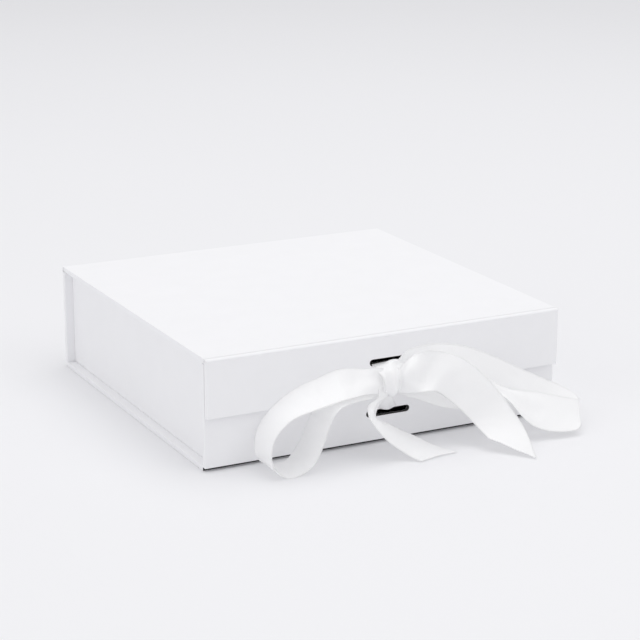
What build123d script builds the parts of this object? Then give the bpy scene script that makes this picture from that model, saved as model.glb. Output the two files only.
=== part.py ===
from build123d import *
import os
from math import cos, radians, sin
from typing import NamedTuple, Optional

# White gift box of wrapped board: a tray with a hinged lid, a magnetic front flap and a ribbon bow.
# Millimetres, +Z up. The origin is the middle of the base's underside, and the front faces -Y.

# Case, outside sizes
case_width = 225.0
case_depth = 219.0
case_height = 65.5
side_inset = 5.3
flap_drop = 34.0
fold_lift = 2.0

# Board and paper of every panel
board_thickness = 2.5
paper_thickness = 0.25
turn_in = 6.0

# Clearances
lid_gap = 0.3
flap_gap = 0.8
bow_gap = 0.7
lead_gap = 0.3
pocket_clearance = 0.1

# Glued corner strips inside the tray
tab_leg = 12.0
tab_drop = 2.0

# Closing magnets in the flap and the steel discs that they meet in the front wall
magnet_diameter = 10.0
magnet_thickness = 1.0
magnet_spacing = 150.0
magnet_rise = 9.0

# Ribbon and the two slots that it comes through
ribbon_width = 25.0
ribbon_thickness = 0.4
anchor_length = 12.0
slot_clearance = 3.0
slot_height = 4.0
slot_seat = 0.3
slot_shift = 1.4
upper_slot_rise = 18.1
lower_slot_drop = 13.3
mouth_reach = 0.8

# Bow: the knot, and how far the ribbon is gathered where it goes in
knot_width = 12.0
knot_depth = 12.0
knot_height = 14.0
knot_round = 3.0
knot_shift = -4.5
knot_rise = 9.0
knot_gather = 0.6
neck_gather = 0.42
lead_gather = 0.62
lead_stop = 1.0
lead_reach = 3.5
lead_bend = 2.1
lead_aside = 0.6
band_tilt = 80.0
band_step = 1.9
band_lift = 1.5
tail_swing = 30.0
tail_step = 3.4
tail_aside = 2.0
stretch_turn = 24.0
slant_steps = 5

# Bow: how far each loop and tail reaches from the knot along the front, and how far it comes forward
left_loop_reach = 81.0
right_loop_reach = 117.5
front_tail_reach = 19.5
front_tail_forward = 31.0
front_tail_slant = 6.0
right_tail_reach = 58.0
right_tail_forward = 60.0
right_tail_slant = 32.0

# Levels and faces that follow from the sizes above
wall = board_thickness + 2 * paper_thickness
edge_round = 2 * paper_thickness
fold_radius = wall / 2
half_width = case_width / 2
half_depth = case_depth / 2
wall_top = case_height - wall - lid_gap
flap_edge = case_height - flap_drop
flap_back = -half_depth - flap_gap
flap_face = flap_back - wall
lid_axis = (half_depth - fold_radius, case_height - fold_radius)
flap_axis = (flap_back - fold_radius, case_height - fold_radius)
lid_front = flap_axis[0] + fold_radius + lid_gap
lid_length = lid_axis[0] - lid_front
flap_height = flap_axis[1] - flap_edge
side_height = wall_top - wall
end_height = wall_top - fold_lift
end_level = fold_lift + end_height / 2
side_face = half_width - side_inset
magnet_level = flap_edge + magnet_rise
slot_length = ribbon_width + slot_clearance
upper_slot = flap_edge + upper_slot_rise
lower_slot = flap_edge - lower_slot_drop
knot_level = flap_edge + knot_rise
knot_middle = flap_face - bow_gap - knot_depth / 2
knot_top = knot_level + knot_height / 2
knot_bottom = knot_level - knot_height / 2


class Panel(NamedTuple):
    """A wrapped board: its outer face's plane, with z into the board, and its outline.

    folds names the sides, +1 for the plane's +y and -1 for its -y, where a paper hinge carries on
    from the outer face, so the edge stays sharp there. slots are the planes of the ribbon's slots.
    """

    name: str
    plane: Plane
    length: float
    height: float
    folds: tuple = ()
    slots: tuple = ()
    pockets: Optional[Plane] = None


class Station(NamedTuple):
    """A place along a ribbon.

    side is its distance from the knot's middle as a share of the ribbon's reach, out the distance of
    its back edge from the flap as a share of how far the ribbon comes forward, and rise its height as
    a share of the knot's. swing turns the ribbon's width from straight back to the right and tilt
    lifts it, in degrees. gather is the share of the width that is left after gathering.
    """

    side: float
    out: float
    rise: float
    swing: float
    tilt: float
    gather: float


class Strip(NamedTuple):
    """A loop or tail of the bow: its reach along the front, how far it comes forward and its stations.

    slant is how much shorter it is at its front edge, over its last stations.
    """

    name: str
    reach: float
    forward: float
    stations: list
    slant: float = 0.0


def front_plane(x, y, z):
    """A plane at the given point, facing into the box from the front, with its y axis up."""
    return Plane(origin=(x, y, z), x_dir=(-1, 0, 0), z_dir=(0, 1, 0))


panels = [
    Panel("base", Plane.XY, case_width, case_depth - 2 * wall),
    Panel(
        "front",
        front_plane(0, -half_depth, end_level),
        case_width,
        end_height,
        slots=(
            front_plane(slot_shift, -half_depth, lower_slot),
            front_plane(slot_shift, -half_depth, upper_slot),
        ),
        pockets=front_plane(0, -half_depth + paper_thickness, magnet_level),
    ),
    Panel(
        "spine",
        Plane(origin=(0, half_depth, end_level), x_dir=(1, 0, 0), z_dir=(0, -1, 0)),
        case_width,
        end_height,
        folds=(1,),
    ),
    Panel(
        "left_wall",
        Plane(origin=(-side_face, 0, wall + side_height / 2), x_dir=(0, 1, 0), z_dir=(1, 0, 0)),
        case_depth - 2 * wall,
        side_height,
    ),
    Panel(
        "right_wall",
        Plane(origin=(side_face, 0, wall + side_height / 2), x_dir=(0, -1, 0), z_dir=(-1, 0, 0)),
        case_depth - 2 * wall,
        side_height,
    ),
    Panel(
        "lid",
        Plane(origin=(0, lid_front + lid_length / 2, case_height), x_dir=(1, 0, 0), z_dir=(0, 0, -1)),
        case_width,
        lid_length,
        folds=(1, -1),
    ),
    Panel(
        "flap",
        front_plane(0, flap_face, flap_edge + flap_height / 2),
        case_width,
        flap_height,
        folds=(1,),
        slots=(front_plane(slot_shift, flap_face, upper_slot),),
        pockets=front_plane(0, flap_back - paper_thickness - magnet_thickness, magnet_level),
    ),
]


def write(builder, name):
    """Label a finished piece and write it as a sub-part."""
    builder.part.label = name
    export_step(builder.part, f"parts/{name}.step")


def build_panel(panel):
    """Make a panel's board, the wrap that turns in round its edges, and its liner."""
    with BuildPart() as board:
        with BuildSketch(panel.plane.offset(paper_thickness)):
            Rectangle(panel.length - 2 * paper_thickness, panel.height - 2 * paper_thickness)
        extrude(amount=board_thickness)
        for slot in panel.slots:
            with BuildSketch(slot):
                SlotOverall(slot_length, slot_height)
            extrude(amount=wall, mode=Mode.SUBTRACT)
        if panel.pockets:
            with BuildSketch(panel.pockets):
                with GridLocations(magnet_spacing, 0, 2, 1):
                    Circle(magnet_diameter / 2 + pocket_clearance)
            extrude(amount=magnet_thickness, mode=Mode.SUBTRACT)
    write(board, f"{panel.name}_board")

    with BuildPart() as wrap:
        with BuildSketch(panel.plane):
            Rectangle(panel.length, panel.height)
        extrude(amount=wall)
        rounded = wrap.edges()
        for fold in panel.folds:
            crease = panel.plane.from_local_coords((0, fold * panel.height / 2, 0))
            rounded = rounded.sort_by_distance(crease)[1:]
        fillet(rounded, edge_round)
        with BuildSketch(panel.plane.offset(paper_thickness)):
            Rectangle(panel.length - 2 * paper_thickness, panel.height - 2 * paper_thickness)
        extrude(amount=board_thickness, mode=Mode.SUBTRACT)
        with BuildSketch(panel.plane.offset(wall - paper_thickness)):
            Rectangle(panel.length - 2 * turn_in, panel.height - 2 * turn_in)
        extrude(amount=paper_thickness, mode=Mode.SUBTRACT)
        for slot in panel.slots:
            with BuildSketch(slot):
                SlotOverall(slot_length, slot_height)
            extrude(amount=wall, mode=Mode.SUBTRACT)
    write(wrap, f"{panel.name}_wrap")

    with BuildPart() as liner:
        with BuildSketch(panel.plane.offset(wall - paper_thickness)):
            Rectangle(panel.length - 2 * turn_in, panel.height - 2 * turn_in)
        extrude(amount=paper_thickness)
        for slot in panel.slots:
            with BuildSketch(slot):
                SlotOverall(slot_length, slot_height)
            extrude(amount=wall, mode=Mode.SUBTRACT)
    write(liner, f"{panel.name}_liner")


def build_lid_fold():
    """Make the paper strip that hinges the lid on the spine: a flat run and a quarter round."""
    with BuildPart() as lid_fold:
        with BuildSketch(Plane.YZ.offset(-half_width)):
            with Locations(lid_axis):
                Circle(fold_radius)
                Circle(fold_radius - paper_thickness, mode=Mode.SUBTRACT)
                Rectangle(fold_radius, fold_radius, align=(Align.MIN, Align.MIN), mode=Mode.INTERSECT)
            with Locations((half_depth, wall_top)):
                Rectangle(paper_thickness, lid_axis[1] - wall_top, align=(Align.MAX, Align.MIN))
        extrude(amount=case_width)
    write(lid_fold, "lid_fold")


def build_flap_fold():
    """Make the paper strip that hinges the flap on the lid: a quarter round and a flat run."""
    with BuildPart() as flap_fold:
        with BuildSketch(Plane.YZ.offset(-half_width)):
            with Locations(flap_axis):
                Circle(fold_radius)
                Circle(fold_radius - paper_thickness, mode=Mode.SUBTRACT)
                Rectangle(fold_radius, fold_radius, align=(Align.MAX, Align.MIN), mode=Mode.INTERSECT)
            with Locations((flap_axis[0], case_height)):
                Rectangle(lid_front - flap_axis[0], paper_thickness, align=(Align.MIN, Align.MAX))
        extrude(amount=case_width)
    write(flap_fold, "flap_fold")


def build_corner_tabs():
    """Make the four folded paper strips that glue the side walls to the front wall and the spine."""
    corner_x = side_face - wall
    corner_y = half_depth - wall
    with BuildPart() as corner_tabs:
        with BuildSketch(Plane.XY.offset(wall)):
            with Locations((corner_x, corner_y)):
                Rectangle(tab_leg, paper_thickness, align=(Align.MAX, Align.MAX))
                Rectangle(paper_thickness, tab_leg, align=(Align.MAX, Align.MAX))
            mirror(about=Plane.XZ)
            mirror(about=Plane.YZ)
        extrude(amount=side_height - tab_drop)
    write(corner_tabs, "corner_tabs")


def build_discs(name, pockets):
    """Make a pair of discs that fill the pockets of a board."""
    with BuildPart() as discs:
        with BuildSketch(pockets):
            with GridLocations(magnet_spacing, 0, 2, 1):
                Circle(magnet_diameter / 2)
        extrude(amount=magnet_thickness)
    write(discs, name)


def ribbon_plane(origin, width, run):
    """A section's plane, with x along the ribbon's width and z along its run.

    Args: origin is the section's middle, width the direction across the ribbon, and run the
    direction in which the ribbon goes on.
    """
    across = Vector(width).normalized()
    along = Vector(run)
    return Plane(origin=origin, x_dir=across, z_dir=along - across * along.dot(across))


def width_direction(swing, tilt):
    """The direction across a ribbon, from its front edge to its back edge."""
    level = cos(radians(tilt))
    return Vector(sin(radians(swing)) * level, cos(radians(swing)) * level, sin(radians(tilt)))


def station_middle(strip, station):
    """The middle of a ribbon at a station."""
    across = width_direction(station.swing, station.tilt)
    back_edge = flap_face - bow_gap - station.out * strip.forward
    return Vector(
        knot_shift + station.side * strip.reach,
        back_edge - across.Y * station.gather * ribbon_width / 2,
        knot_level * station.rise,
    )


def ribbon_sections(strip, start, end=None):
    """Planes and gathers of a ribbon from its start on the knot, over its stations, to its end.

    Args: start and end are the plane and the gather where it leaves the knot and where it comes back.
    """
    middles = [start[0].origin] + [station_middle(strip, station) for station in strip.stations]
    if end:
        middles.append(end[0].origin)
    sections = [start]
    for index, station in enumerate(strip.stations, start=1):
        after = middles[min(index + 1, len(middles) - 1)]
        run = (after - middles[index - 1]).normalized()
        slanted = max(0, index - len(strip.stations) + slant_steps)
        lag = run * strip.slant * slanted / slant_steps
        across = width_direction(station.swing, station.tilt) * ribbon_width * station.gather + lag
        plane = ribbon_plane(middles[index] - lag / 2, across, run)
        sections.append((plane, across.length / ribbon_width))
    if end:
        sections.append(end)
    return sections


def knot_side(side, step, lift, run):
    """A gathered band's plane and gather on the knot's left (-1) or right (+1) face.

    Args: step is how far it lies in front of the knot's middle, lift how far above it, and run is
    +1 where the ribbon leaves the knot and -1 where it comes back.
    """
    middle = (knot_shift + side * knot_width / 2, knot_middle - step, knot_level + lift)
    return ribbon_plane(middle, width_direction(0, band_tilt), (side * run, 0, 0)), knot_gather


def ribbon_section(gather):
    """Draw the ribbon's section, which gets thicker as its width is gathered."""
    Rectangle(ribbon_width * gather, ribbon_thickness / min(gather, 1))


def stretches(sections, last):
    """Cut a ribbon's sections into stretches, each ended once it has turned far enough.

    Args: last is how many steps the last stretch has.
    """
    free = sections[: len(sections) - last]
    cut = [[free[0]]]
    for section in free[1:]:
        cut[-1].append(section)
        turn = cut[-1][0][0].z_dir.get_angle(section[0].z_dir)
        if turn > stretch_turn and section is not free[-1]:
            cut.append([section])
    if last:
        cut.append(sections[-last - 1 :])
    return cut


def build_ribbon(name, sections, last=0):
    """Make a free length of the ribbon: the sides of its stretches, sewn together and closed at its ends.

    Args: last is how many steps its last stretch has, where its end is cut on a slant.
    """
    sides = []
    ends = []
    for stretch in stretches(sections, last):
        with BuildPart() as length:
            for plane, gather in stretch:
                with BuildSketch(plane):
                    ribbon_section(gather)
            loft()
        caps = [length.faces().sort_by_distance(stretch[i][0].origin)[0] for i in (0, -1)]
        sides += [face for face in length.faces() if face not in caps]
        ends += caps
    with BuildPart() as ribbon:
        add(Solid(Shell(sides + [ends[0], ends[-1]])))
    write(ribbon, name)


def build_lead(name, face, mouth, level, rise, sections):
    """Make a ribbon that is glued to the inner face of a panel and comes out through its slot.

    Args: face and mouth are where the ribbon lies inside and where it leaves the slot, in y, level
    is its underside in the slot, rise is whether its glued end goes up or down from there, and
    sections carry it on from the mouth.
    """
    foot = level if rise else level + ribbon_thickness - anchor_length
    with BuildPart() as lead:
        with BuildSketch(Plane.YZ.offset(slot_shift - ribbon_width / 2)):
            with Locations((mouth, level)):
                Rectangle(face - mouth, ribbon_thickness, align=(Align.MIN, Align.MIN))
            with Locations((face, foot)):
                Rectangle(ribbon_thickness, anchor_length, align=(Align.MIN, Align.MIN))
        extrude(amount=ribbon_width)
        for plane, gather in sections:
            with BuildSketch(plane):
                ribbon_section(gather)
        loft(ruled=True)
    write(lead, name)


def build_upper_ribbon():
    """Make the ribbon that comes out of the flap's slot and lies on top of the knot."""
    level = upper_slot - slot_height / 2 + slot_seat
    mouth = flap_face - mouth_reach
    middle = level + ribbon_thickness / 2
    rest = knot_top + ribbon_thickness / neck_gather / 2
    bend = (knot_shift + lead_aside, mouth - lead_bend, (middle + rest) / 2)
    sections = [
        (ribbon_plane((slot_shift, mouth, middle), (1, 0, 0), (0, -1, 0)), 1.0),
        (ribbon_plane(bend, (1, 0, 0), (0, -1, 0)), neck_gather),
        (ribbon_plane((knot_shift, knot_middle, rest), (1, 0, 0), (0, -1, 0)), neck_gather),
    ]
    build_lead("upper_ribbon", flap_back, mouth, level, False, sections)


def build_lower_ribbon():
    """Make the ribbon that comes out of the front wall's slot, and its end below the knot.

    It parts just under the flap, because its end lifts away with the bow.
    """
    level = lower_slot + slot_height / 2 - slot_seat - ribbon_thickness
    mouth = -half_depth - mouth_reach
    middle = level + ribbon_thickness / 2
    top = flap_edge - lead_stop
    front = flap_face - lead_reach
    sections = [
        (ribbon_plane((slot_shift, mouth, middle), (1, 0, 0), (0, -1, 0)), 1.0),
        (
            ribbon_plane(
                (slot_shift / 2, (2 * front + mouth) / 3, (middle + top) / 2), (1, 0, 0), (0, -1, 2)
            ),
            lead_gather,
        ),
        (ribbon_plane((knot_shift, front, top), (1, 0, 0), (0, 0, 1)), neck_gather),
    ]
    build_lead("lower_ribbon", -half_depth + wall, mouth, level, True, sections)
    build_ribbon(
        "lower_ribbon_end",
        [
            (ribbon_plane((knot_shift, front, top + lead_gap), (1, 0, 0), (0, 0, 1)), neck_gather),
            (ribbon_plane((knot_shift, front, knot_bottom), (1, 0, 0), (0, 0, 1)), neck_gather),
        ],
    )


def build_knot():
    """Make the bow's knot."""
    with BuildPart() as bow_knot:
        with Locations((knot_shift, knot_middle, knot_level)):
            Box(knot_width, knot_depth, knot_height)
        fillet(bow_knot.edges(), knot_round)
    write(bow_knot, "bow_knot")


left_loop = Strip(
    "left_loop",
    -left_loop_reach,
    ribbon_width,
    [
        Station(0.16, 0.10, 1.04, 22, 47, 0.64),
        Station(0.275, 0.03, 1.07, 21, 30, 0.86),
        Station(0.395, 0.01, 1.08, 19, 26, 1),
        Station(0.56, 0.01, 1.02, 15, 21, 1),
        Station(0.705, 0.01, 0.955, 9, 14, 1),
        Station(0.835, 0.01, 0.85, 6, 5, 1),
        Station(0.925, 0.01, 0.71, 4, 1, 1),
        Station(0.985, 0.01, 0.52, 3, -3, 1),
        Station(1.0, 0.01, 0.32, 3, -4, 1),
        Station(0.975, 0.01, 0.14, 3, -3, 1),
        Station(0.90, 0.01, 0.03, 4, 0, 1),
        Station(0.80, 0.01, 0.02, 4, 0, 1),
        Station(0.705, 0.01, 0.115, -3, -3, 1),
        Station(0.645, 0.01, 0.28, -4, -7, 1),
        Station(0.605, 0.01, 0.46, -4, -9, 1),
        Station(0.57, 0.01, 0.635, -3, -9, 1),
        Station(0.51, 0.01, 0.805, 2, -6, 1),
        Station(0.395, 0.01, 0.905, 8, 3, 0.9),
        Station(0.265, 0.015, 0.925, 10, 16, 0.72),
        Station(0.16, 0.03, 0.94, 8, 46, 0.6),
    ],
)

right_loop = Strip(
    "right_loop",
    right_loop_reach,
    ribbon_width,
    [
        Station(0.105, 0.065, 1.09, 0, 75, 0.78),
        Station(0.185, 0.05, 1.11, 3, 71, 0.95),
        Station(0.29, 0.05, 1.10, 5, 70, 1),
        Station(0.405, 0.05, 1.03, 6, 70, 1),
        Station(0.525, 0.055, 0.90, 8, 69, 1),
        Station(0.64, 0.09, 0.735, 10, 67, 1),
        Station(0.755, 0.16, 0.555, 13, 62, 1),
        Station(0.86, 0.24, 0.41, 18, 54, 1),
        Station(0.94, 0.305, 0.32, 23, 40, 1),
        Station(0.985, 0.41, 0.27, 27, 28, 1),
        Station(1.0, 0.545, 0.24, 30, 20, 1),
        Station(0.98, 0.70, 0.235, 32, 24, 1),
        Station(0.925, 0.79, 0.255, 33, 32, 1),
        Station(0.855, 0.795, 0.295, 31, 39, 1),
        Station(0.785, 0.735, 0.345, 28, 42, 1),
        Station(0.705, 0.61, 0.42, 25, 37, 0.95),
        Station(0.64, 0.58, 0.535, 24, 24, 0.78),
        Station(0.595, 0.54, 0.645, 22, 14, 0.56),
        Station(0.49, 0.43, 0.745, 9, 52, 0.7),
        Station(0.36, 0.36, 0.77, 3, 68, 0.92),
        Station(0.225, 0.31, 0.845, 0, 72, 0.86),
        Station(0.115, 0.29, 0.93, 0, 77, 0.68),
    ],
)

front_tail = Strip(
    "front_tail",
    front_tail_reach,
    front_tail_forward,
    [
        Station(-0.488, 0.278, 0.765, 45, -8, 0.5),
        Station(-0.768, 0.282, 0.72, 36, -17, 0.74),
        Station(-0.818, 0.282, 0.62, 36, -18, 0.94),
        Station(-0.589, 0.282, 0.485, 40, -11, 1),
        Station(-0.18, 0.289, 0.315, 43, -3, 1),
        Station(0.28, 0.334, 0.165, 45, 2, 1),
        Station(0.59, 0.516, 0.07, 53, 1, 1),
        Station(0.82, 0.731, 0.025, 62, 0, 1),
        Station(1.0, 0.991, 0.017, 70, 0, 1),
    ],
    front_tail_slant,
)

right_tail = Strip(
    "right_tail",
    right_tail_reach,
    right_tail_forward,
    [
        Station(0.215, 0.16, 1.10, 20, 66, 0.88),
        Station(0.36, 0.165, 1.125, 40, 54, 1),
        Station(0.515, 0.195, 1.065, 62, 47, 1),
        Station(0.685, 0.26, 0.89, 80, 42, 1),
        Station(0.82, 0.325, 0.675, 84, 30, 1),
        Station(0.92, 0.39, 0.475, 86, 20, 1),
        Station(0.98, 0.48, 0.315, 86, 12, 1),
        Station(1.0, 0.60, 0.185, 82, 5, 1),
        Station(0.965, 0.775, 0.07, 76, 1, 1),
        Station(0.89, 0.995, 0.02, 68, 0, 1),
    ],
    right_tail_slant,
)


os.makedirs("parts", exist_ok=True)

for panel in panels:
    build_panel(panel)
    if panel.name == "front":
        build_discs("steel_discs", panel.pockets)
    if panel.name == "flap":
        build_discs("magnets", panel.pockets)
build_lid_fold()
build_flap_fold()
build_corner_tabs()
build_upper_ribbon()
build_lower_ribbon()
build_knot()

for side, loop in [(-1, left_loop), (1, right_loop)]:
    leaves = knot_side(side, -side * band_step, band_lift, 1)
    returns = knot_side(side, side * band_step, -band_lift, -1)
    build_ribbon(loop.name, ribbon_sections(loop, leaves, returns))

tail_start = ribbon_plane(
    (knot_shift - tail_aside, knot_middle - tail_step, knot_bottom),
    width_direction(tail_swing, 0),
    (0, 0, -1),
)
build_ribbon(front_tail.name, ribbon_sections(front_tail, (tail_start, neck_gather)), slant_steps)
build_ribbon(
    right_tail.name, ribbon_sections(right_tail, knot_side(1, 2 * band_step, 0, 1)), slant_steps
)
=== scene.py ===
"""White gift box of wrapped board, tied with a satin bow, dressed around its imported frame.

Metres, +Z up. The box's front faces -Y, and the middle of its underside is the origin.
"""
import logging
from dataclasses import dataclass, replace
from enum import Enum
from math import cos, pi, radians, sin
from typing import Optional, Union

import bpy
import numpy as np
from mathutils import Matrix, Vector


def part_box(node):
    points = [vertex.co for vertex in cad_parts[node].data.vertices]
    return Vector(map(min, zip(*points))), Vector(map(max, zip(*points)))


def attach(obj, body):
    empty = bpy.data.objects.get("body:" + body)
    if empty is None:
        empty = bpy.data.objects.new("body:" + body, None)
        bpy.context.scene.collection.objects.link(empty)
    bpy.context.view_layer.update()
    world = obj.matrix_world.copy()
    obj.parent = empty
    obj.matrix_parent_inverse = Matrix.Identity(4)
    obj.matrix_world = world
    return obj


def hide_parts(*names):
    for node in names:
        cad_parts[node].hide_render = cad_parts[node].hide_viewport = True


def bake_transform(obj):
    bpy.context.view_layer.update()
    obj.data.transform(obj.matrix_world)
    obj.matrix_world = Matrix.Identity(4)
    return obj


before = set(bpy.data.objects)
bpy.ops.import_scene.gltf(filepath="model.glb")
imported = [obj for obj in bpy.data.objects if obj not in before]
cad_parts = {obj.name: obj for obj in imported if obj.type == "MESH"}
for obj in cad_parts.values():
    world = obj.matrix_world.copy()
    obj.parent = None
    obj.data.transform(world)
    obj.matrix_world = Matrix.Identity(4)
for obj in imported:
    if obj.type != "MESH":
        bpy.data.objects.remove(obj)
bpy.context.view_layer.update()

MM = 0.001
RIBBON_MAP = "ribbon"
FREE_ENDS = (False, False)

Colour = tuple[float, float, float]
Point = tuple[float, float, float]
Pair = tuple[float, float]
Socket = bpy.types.NodeSocket
Piece = bpy.types.Object
Material = bpy.types.Material
Setting = Union[float, int, tuple, Socket]

log = logging.getLogger("gift_box")


class Slot(Enum):
    """The record's material slots."""

    WRAP = "wrap_paper"
    RIBBON = "satin_ribbon"


class Body(Enum):
    """The bodies that the pieces ride on."""

    TRAY = "tray"
    LID = "lid"
    FLAP = "flap"


class NodeBoard:
    """A new material's node tree, with short calls that add its nodes and join them."""

    def __init__(self, name: str) -> None:
        """Start the material with its plain shader.

        Args:
            name: The material's name.
        """
        self.material = bpy.data.materials.new(name)
        self.material.use_nodes = True
        self.nodes = self.material.node_tree.nodes
        self.links = self.material.node_tree.links
        self.shader = self.nodes["Principled BSDF"]

    def fill(self, node: bpy.types.Node, inputs: dict[str, Setting]) -> None:
        """Set a node's inputs, each to a value or to another node's output.

        Args:
            node: The node.
            inputs: Values and outputs by the input's name.
        """
        for name, value in inputs.items():
            if isinstance(value, Socket):
                self.links.new(value, node.inputs[name])
            else:
                node.inputs[name].default_value = value

    def add(self, kind: str, inputs: dict[str, Setting], **settings: object) -> bpy.types.Node:
        """Add a node.

        Args:
            kind: The node's type.
            inputs: Values and outputs by the input's name.
            settings: The node's own settings.

        Returns:
            The node.
        """
        node = self.nodes.new(kind)
        for name, value in settings.items():
            setattr(node, name, value)
        self.fill(node, inputs)
        return node

    def shade(self, inputs: dict[str, Setting]) -> None:
        """Set the shader's inputs, by name."""
        self.fill(self.shader, inputs)

    def solid_place(self) -> Socket:
        """The place on the piece, in its own metres."""
        return self.add("ShaderNodeTexCoord", {}).outputs["Object"]

    def noise(self, place: Socket, size: float, detail: float) -> Socket:
        """Soft random clouding about 0.5: its size in the place's units, and its number of finer layers."""
        inputs = {"Vector": place, "Scale": 1 / size, "Detail": detail, "Roughness": 0.6}
        return self.add("ShaderNodeTexNoise", inputs).outputs["Fac"]

    def spread(
        self,
        value: Socket,
        low: float,
        high: float,
        from_low: float = 0.3,
        from_high: float = 0.7,
    ) -> Socket:
        """Map a value from one range, from_low to from_high, to another, low to high."""
        inputs = {"Value": value, "From Min": from_low, "From Max": from_high, "To Min": low, "To Max": high}
        return self.add("ShaderNodeMapRange", inputs).outputs["Result"]

    def two_tone(self, value: Socket, low: Colour, high: Colour) -> Socket:
        """A colour between two.

        Args:
            value: 0 for the first colour, 1 for the second.
            low: The first colour.
            high: The second colour.

        Returns:
            The colour.
        """
        node = self.add("ShaderNodeValToRGB", {"Fac": value})
        node.color_ramp.elements[0].color = (*low, 1)
        node.color_ramp.elements[1].color = (*high, 1)
        return node.outputs["Color"]

    def bump(
        self, height: Socket, relief: float, under: Optional[Socket] = None
    ) -> Socket:
        """A raised surface.

        Args:
            height: The height, 0 to 1.
            relief: How high 1 is, in metres.
            under: A surface that this one lies on.

        Returns:
            The surface's normal.
        """
        inputs = {"Height": height, "Distance": relief, "Strength": 1.0}
        if under is not None:
            inputs["Normal"] = under
        return self.add("ShaderNodeBump", inputs).outputs["Normal"]


@dataclass(frozen=True)
class PaperFinish:
    """Cover paper: a pale pulp with faint clouding, fine fibres and edges polished by handling, and where
    asked a painted near-black shade low on its front-facing edges.
    """

    name: str
    pale: Colour
    deep: Colour
    roughness: float
    cloud: float = 17 * MM
    fibre: float = 0.32 * MM
    relief: float = 0.014 * MM
    sag: float = 46 * MM
    sag_relief: float = 0.10 * MM
    rub_radius: float = 0.7 * MM
    rub_turn: Pair = (0.86, 0.995)
    rub_polish: float = 0.12
    rough_drift: Pair = (-0.05, 0.06)
    shine: float = 0.32
    # Painted shade: a near-black tone on front-facing faces below this height, fading out above it, standing
    # in for the shadow in a low gap.
    gap_shade_height: float = 0.0
    gap_shade_tone: Colour = (0.02, 0.02, 0.021)
    gap_shade_facing: Pair = (-0.9, -0.6)
    gap_shade_fade: float = 1.15

    def material(self) -> Material:
        """Make the paper's material.

        Returns:
            The material.
        """
        board = NodeBoard(self.name)
        place = board.solid_place()
        clouds = board.noise(place, self.cloud, detail=4)
        fibres = board.noise(place, self.fibre, detail=3)
        sags = board.noise(place, self.sag, detail=0)
        edge = self.edge_rub(board)
        tone = board.spread(clouds, 0.0, 1.0)
        rough = board.spread(fibres, *(self.roughness + drift for drift in self.rough_drift))
        smoothed = board.add("ShaderNodeMath", {0: rough}, operation="SUBTRACT")
        board.links.new(board.spread(edge, 0.0, self.rub_polish, 0.0, 1.0), smoothed.inputs[1])
        wavy = board.bump(sags, self.sag_relief)
        board.shade(
            {
                "Base Color": self.paint_gap_shade(board, board.two_tone(tone, self.deep, self.pale)),
                "Roughness": smoothed.outputs["Value"],
                "Specular IOR Level": self.shine,
                "Normal": board.bump(fibres, self.relief, wavy),
            }
        )
        return board.material

    def paint_gap_shade(self, board: NodeBoard, colour: Socket) -> Socket:
        """Paint a near-black shade on front-facing faces below a height, standing in for the shadow in the
        low gap under a fold.

        Args:
            board: The material's nodes.
            colour: The paper's colour.

        Returns:
            The paper's colour, with the painted shade.
        """
        if not self.gap_shade_height:
            return colour
        geometry = board.add("ShaderNodeNewGeometry", {})
        facing = board.add("ShaderNodeSeparateXYZ", {"Vector": geometry.outputs["Normal"]}).outputs["Y"]
        height = board.add("ShaderNodeSeparateXYZ", {"Vector": board.solid_place()}).outputs["Z"]
        upright = board.spread(facing, 1.0, 0.0, *self.gap_shade_facing)
        low = board.spread(height, 1.0, 0.0, self.gap_shade_height, self.gap_shade_fade * self.gap_shade_height)
        # Mask of the painted shade: faces that face the front and lie low.
        painted_shade = board.add("ShaderNodeMath", {0: upright, 1: low}, operation="MULTIPLY")
        inputs = {"Fac": painted_shade.outputs["Value"], "Color1": colour, "Color2": (*self.gap_shade_tone, 1)}
        return board.add("ShaderNodeMixRGB", inputs).outputs["Color"]

    def edge_rub(self, board: NodeBoard) -> Socket:
        """How much an edge is rubbed: 1 on the bend, 0 on the flat.

        Args:
            board: The material's nodes.

        Returns:
            The share.
        """
        bevel = board.add("ShaderNodeBevel", {"Radius": self.rub_radius}, samples=4)
        flat = board.add("ShaderNodeNewGeometry", {}).outputs["Normal"]
        pair = {0: bevel.outputs["Normal"], 1: flat}
        alike = board.add("ShaderNodeVectorMath", pair, operation="DOT_PRODUCT")
        return board.spread(alike.outputs["Value"], 1.0, 0.0, *self.rub_turn)


@dataclass(frozen=True)
class BoardFinish:
    """Grey board of waste pulp, seen where it is cut: dark, flecked and rough."""

    name: str
    pale: Colour
    deep: Colour
    fleck: float = 0.5 * MM
    layer: float = 1.6 * MM
    relief: float = 0.05 * MM
    rough_range: Pair = (0.82, 0.97)

    def material(self) -> Material:
        """Make the board's material.

        Returns:
            The material.
        """
        board = NodeBoard(self.name)
        place = board.solid_place()
        flecks = board.noise(place, self.fleck, detail=5)
        layers = board.noise(place, self.layer, detail=2)
        board.shade(
            {
                "Base Color": board.two_tone(board.spread(flecks, 0.0, 1.0), self.deep, self.pale),
                "Roughness": board.spread(layers, *self.rough_range),
                "Specular IOR Level": 0.2,
                "Normal": board.bump(flecks, self.relief),
            }
        )
        return board.material


@dataclass(frozen=True)
class MetalFinish:
    """Plated disc: bright metal with a fine brushed haze."""

    name: str
    pale: Colour
    deep: Colour
    roughness: float
    haze: float = 0.6 * MM
    relief: float = 0.004 * MM
    rough_drift: Pair = (-0.06, 0.1)

    def material(self) -> Material:
        """Make the metal's material.

        Returns:
            The material.
        """
        board = NodeBoard(self.name)
        haze = board.noise(board.solid_place(), self.haze, detail=3)
        board.shade(
            {
                "Base Color": board.two_tone(board.spread(haze, 0.0, 1.0), self.deep, self.pale),
                "Metallic": 1.0,
                "Roughness": board.spread(haze, *(self.roughness + drift for drift in self.rough_drift)),
                "Normal": board.bump(haze, self.relief),
            }
        )
        return board.material


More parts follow.
